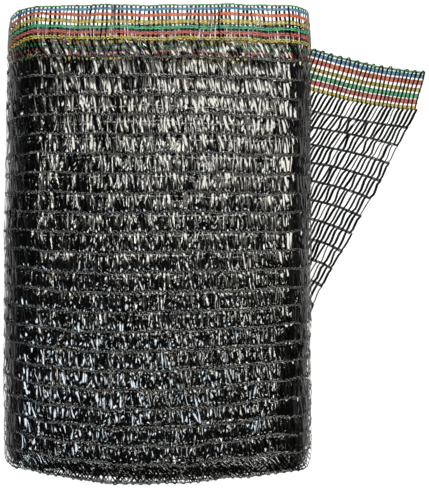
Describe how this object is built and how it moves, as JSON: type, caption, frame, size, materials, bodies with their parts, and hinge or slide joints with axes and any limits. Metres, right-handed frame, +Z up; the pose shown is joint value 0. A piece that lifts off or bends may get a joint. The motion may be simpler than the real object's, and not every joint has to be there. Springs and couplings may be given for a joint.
{
  "type": "rolled knitted shade cloth with a loose end",
  "caption": "Length of black raschel-knit shade net, rolled and pressed flat, with a coloured selvedge along one edge and a slant-cut loose end lying beside it",
  "frame": {"origin": "middle of the roll's flat underside, on the surface it lies on", "axes": "+X across the roll towards the loose end, +Y along the roll towards the coloured selvedge, +Z up from the surface"},
  "size_m": [0.2825, 0.3094, 0.054],
  "materials": {
    "net": "glossy black polyethylene tape, knitted open",
    "loose_net": "the same net in one layer, with a striped selvedge"
  },
  "bodies": {
    "root": {"wound_roll": "net", "loose_end": "loose_net"}
  },
  "joints": []
}
